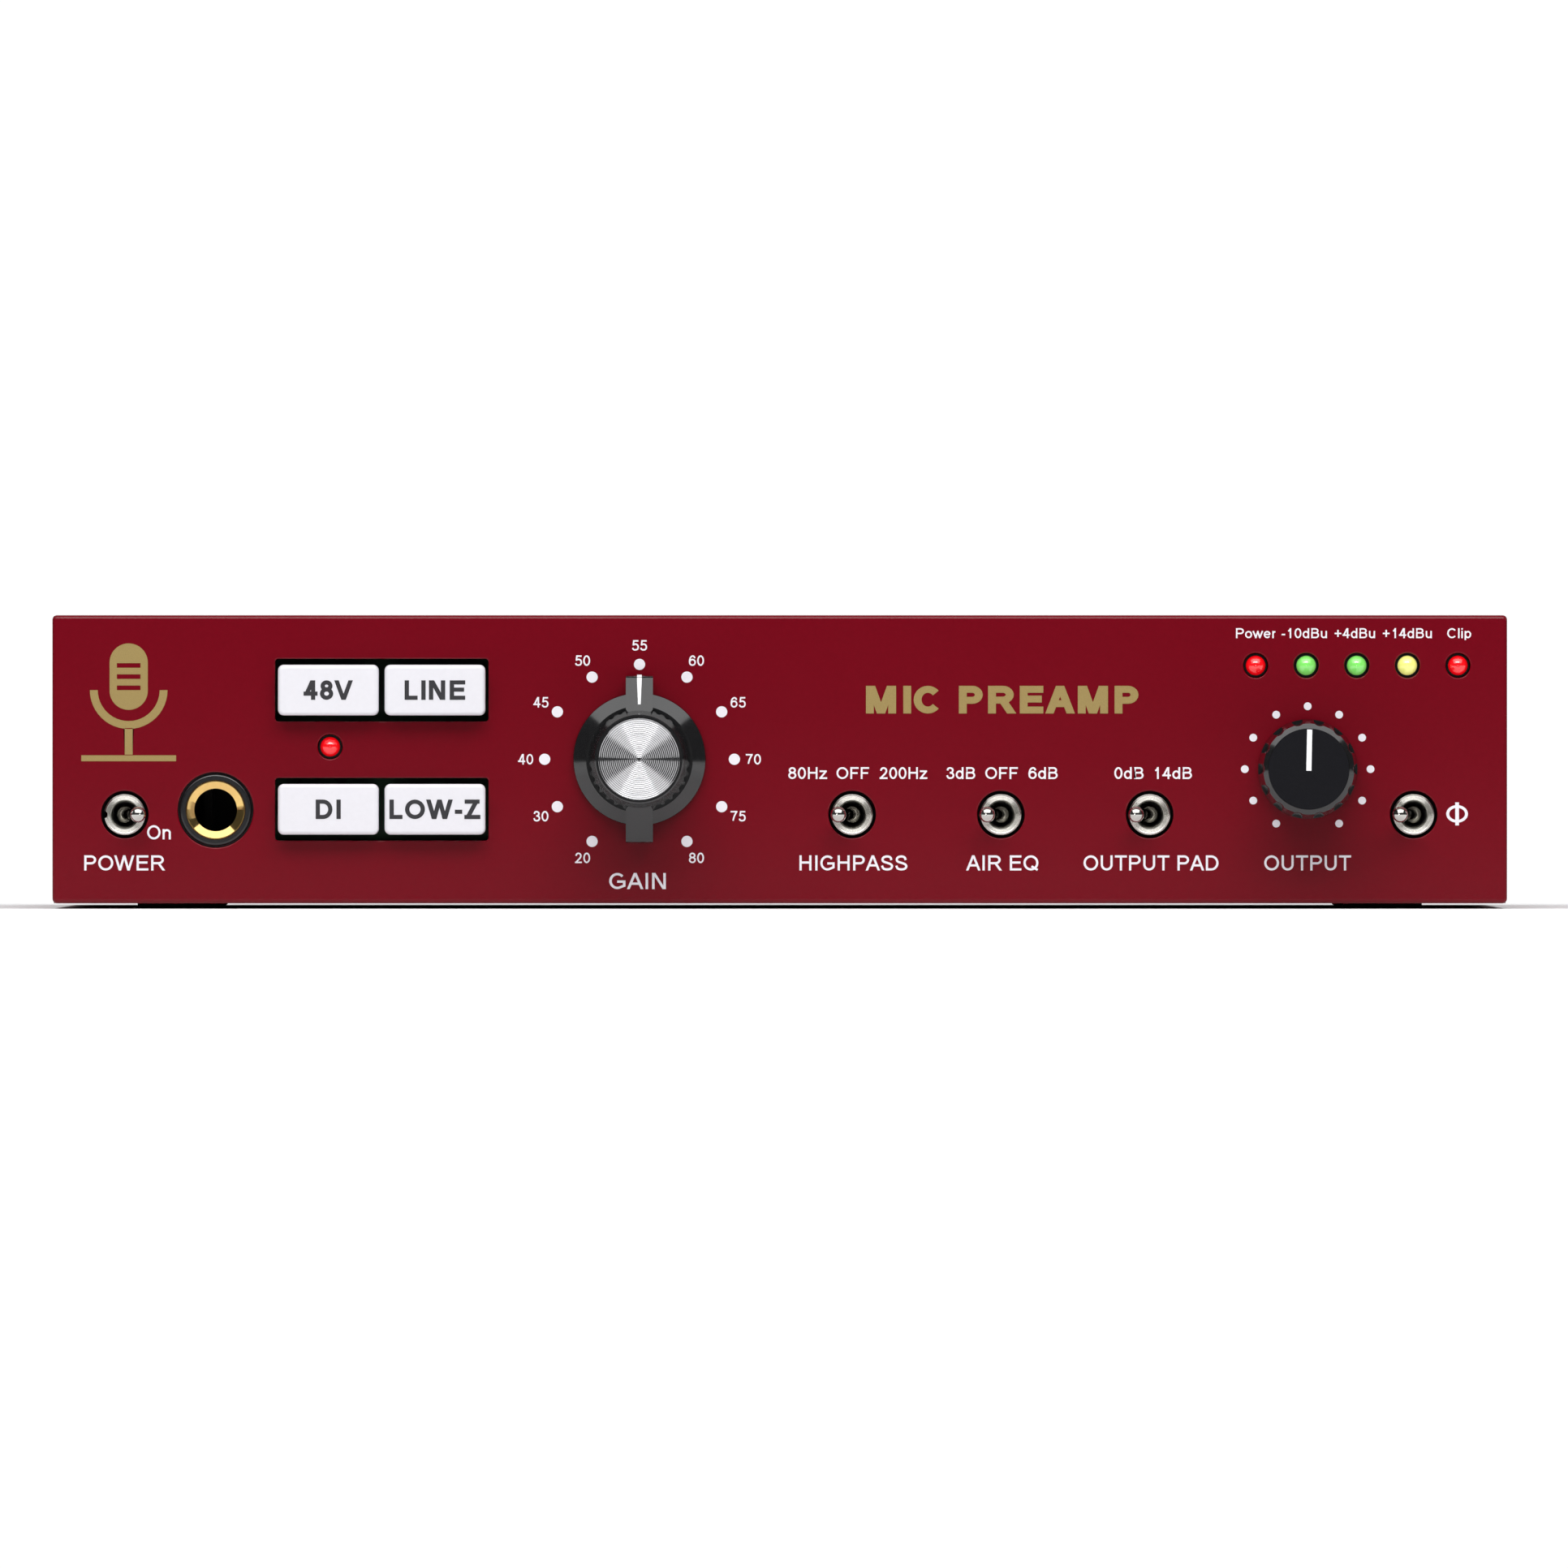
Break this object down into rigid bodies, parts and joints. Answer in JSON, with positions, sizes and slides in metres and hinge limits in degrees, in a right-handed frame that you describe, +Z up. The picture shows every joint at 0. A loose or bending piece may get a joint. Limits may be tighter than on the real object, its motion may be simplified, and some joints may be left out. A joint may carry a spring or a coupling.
{
  "type": "microphone preamp",
  "caption": "Half-rack microphone preamp: folded steel case, gain and output knobs, toggle levers, push buttons, meter lamps, front jack and rear audio sockets.",
  "frame": {"origin": "on the table, under the middle of the whole object's box", "axes": "+X along the front panel to the user's right, -Y out of the front panel, +Z up"},
  "size_m": [0.221, 0.2026, 0.0446],
  "materials": {
    "case_paint": "satin dark red",
    "tray_steel": "satin dark red",
    "black_screws": "black oxide",
    "bright_screws": "zinc plated",
    "rubber": "matte",
    "toggle_metal": "nickel plated",
    "button_white": "satin white",
    "dark_plastic": "moulded",
    "knob_gloss": "glossy black",
    "knob_satin": "satin black",
    "spun_disc": "spun",
    "shaft_metal": "turned",
    "board_green": "solder mask",
    "lamp_red": "tinted lens",
    "lamp_green": "tinted lens",
    "lamp_yellow": "tinted lens",
    "jack_black": "moulded",
    "gold_plate": "gold plated",
    "connector_metal": "nickel plated",
    "standoff_brass": "turned",
    "shield_can": "drawn",
    "core_steel": "laminated",
    "coil_tape": "taped",
    "capacitor_sleeve": "sleeved",
    "film_capacitor": "dipped",
    "heatsink_black": "black anodised"
  },
  "bodies": {
    "chassis": {"front_panel": "case_paint", "top_cover": "case_paint", "rear_panel": "case_paint", "bottom_tray": "tray_steel", "cover_screws": "black_screws", "chassis_screws": "black_screws", "connector_screws": "bright_screws", "board_screws": "bright_screws", "rubber_feet": "rubber", "toggle_bushings": "toggle_metal", "push_switch_bodies": "dark_plastic", "toggle_cases": "dark_plastic", "relays": "dark_plastic", "board_headers": "dark_plastic", "regulators": "dark_plastic", "gain_switch_body": "shaft_metal", "output_pot_body": "shaft_metal", "control_board": "board_green", "main_board": "board_green", "gain_switch_wafers": "board_green", "red_lamps": "lamp_red", "green_lamps": "lamp_green", "yellow_lamp": "lamp_yellow", "instrument_jack_body": "jack_black", "rear_jack_bodies": "jack_black", "mic_xlr_insert": "jack_black", "power_inlet": "jack_black", "instrument_jack_sleeve": "gold_plate", "output_xlr_pins": "gold_plate", "mic_xlr_shell": "connector_metal", "output_xlr_shell": "connector_metal", "rear_jack_nuts": "connector_metal", "board_standoffs": "standoff_brass", "input_transformers": "shield_can", "output_transformer_core": "core_steel", "output_transformer_coil": "coil_tape", "reservoir_capacitors": "capacitor_sleeve", "signal_capacitors": "capacitor_sleeve", "film_capacitors": "film_capacitor", "regulator_heatsink": "heatsink_black"},
    "power_lever": {"power_toggle_lever": "toggle_metal"},
    "highpass_lever": {"highpass_toggle_lever": "toggle_metal"},
    "air_lever": {"air_toggle_lever": "toggle_metal"},
    "pad_lever": {"pad_toggle_lever": "toggle_metal"},
    "phase_lever": {"phase_toggle_lever": "toggle_metal"},
    "phantom_button": {"phantom_button_cap": "button_white", "phantom_button_stem": "dark_plastic"},
    "line_button": {"line_button_cap": "button_white", "line_button_stem": "dark_plastic"},
    "di_button": {"di_button_cap": "button_white", "di_button_stem": "dark_plastic"},
    "low_z_button": {"low_z_button_cap": "button_white", "low_z_button_stem": "dark_plastic"},
    "gain_control": {"gain_knob": "knob_gloss", "gain_knob_disc": "spun_disc", "gain_shaft": "shaft_metal"},
    "output_control": {"output_knob": "knob_gloss", "output_knob_cap": "knob_satin", "output_shaft": "shaft_metal"},
    "xlr_latch": {"mic_xlr_latch": "connector_metal"}
  },
  "joints": [
    {"name": "power_toggle", "type": "hinge", "parent": "chassis", "child": "power_lever", "pos_m": [-0.0995, -0.07975, 0.0143], "axis": [0, 0, 1], "range_deg": [-25, 0]},
    {"name": "highpass_toggle", "type": "hinge", "parent": "chassis", "child": "highpass_lever", "pos_m": [0.011, -0.07975, 0.0143], "axis": [0, 0, 1], "range_deg": [0, 25]},
    {"name": "air_toggle", "type": "hinge", "parent": "chassis", "child": "air_lever", "pos_m": [0.0336, -0.07975, 0.0143], "axis": [0, 0, 1], "range_deg": [0, 25]},
    {"name": "pad_toggle", "type": "hinge", "parent": "chassis", "child": "pad_lever", "pos_m": [0.0562, -0.07975, 0.0143], "axis": [0, 0, 1], "range_deg": [0, 25]},
    {"name": "phase_toggle", "type": "hinge", "parent": "chassis", "child": "phase_lever", "pos_m": [0.0963, -0.07975, 0.0143], "axis": [0, 0, 1], "range_deg": [0, 25]},
    {"name": "phantom_press", "type": "slide", "parent": "chassis", "child": "phantom_button", "axis": [0, 1, 0], "range_m": [0, 0.003], "stiffness_N_per_m": 400, "springref_m": -0.005},
    {"name": "line_press", "type": "slide", "parent": "chassis", "child": "line_button", "axis": [0, 1, 0], "range_m": [0, 0.003], "stiffness_N_per_m": 400, "springref_m": -0.005},
    {"name": "di_press", "type": "slide", "parent": "chassis", "child": "di_button", "axis": [0, 1, 0], "range_m": [0, 0.003], "stiffness_N_per_m": 400, "springref_m": -0.005},
    {"name": "low_z_press", "type": "slide", "parent": "chassis", "child": "low_z_button", "axis": [0, 1, 0], "range_m": [0, 0.003], "stiffness_N_per_m": 400, "springref_m": -0.005},
    {"name": "gain_turn", "type": "hinge", "parent": "chassis", "child": "gain_control", "pos_m": [-0.0213, -0.08425, 0.0227], "axis": [0, 1, 0], "range_deg": [-150, 150]},
    {"name": "output_turn", "type": "hinge", "parent": "chassis", "child": "output_control", "pos_m": [0.0802, -0.08425, 0.0212], "axis": [0, 1, 0], "range_deg": [-150, 150]},
    {"name": "xlr_latch_press", "type": "slide", "parent": "chassis", "child": "xlr_latch", "axis": [0, -1, 0], "range_m": [0, 0.0014], "stiffness_N_per_m": 500, "springref_m": -0.003}
  ]
}
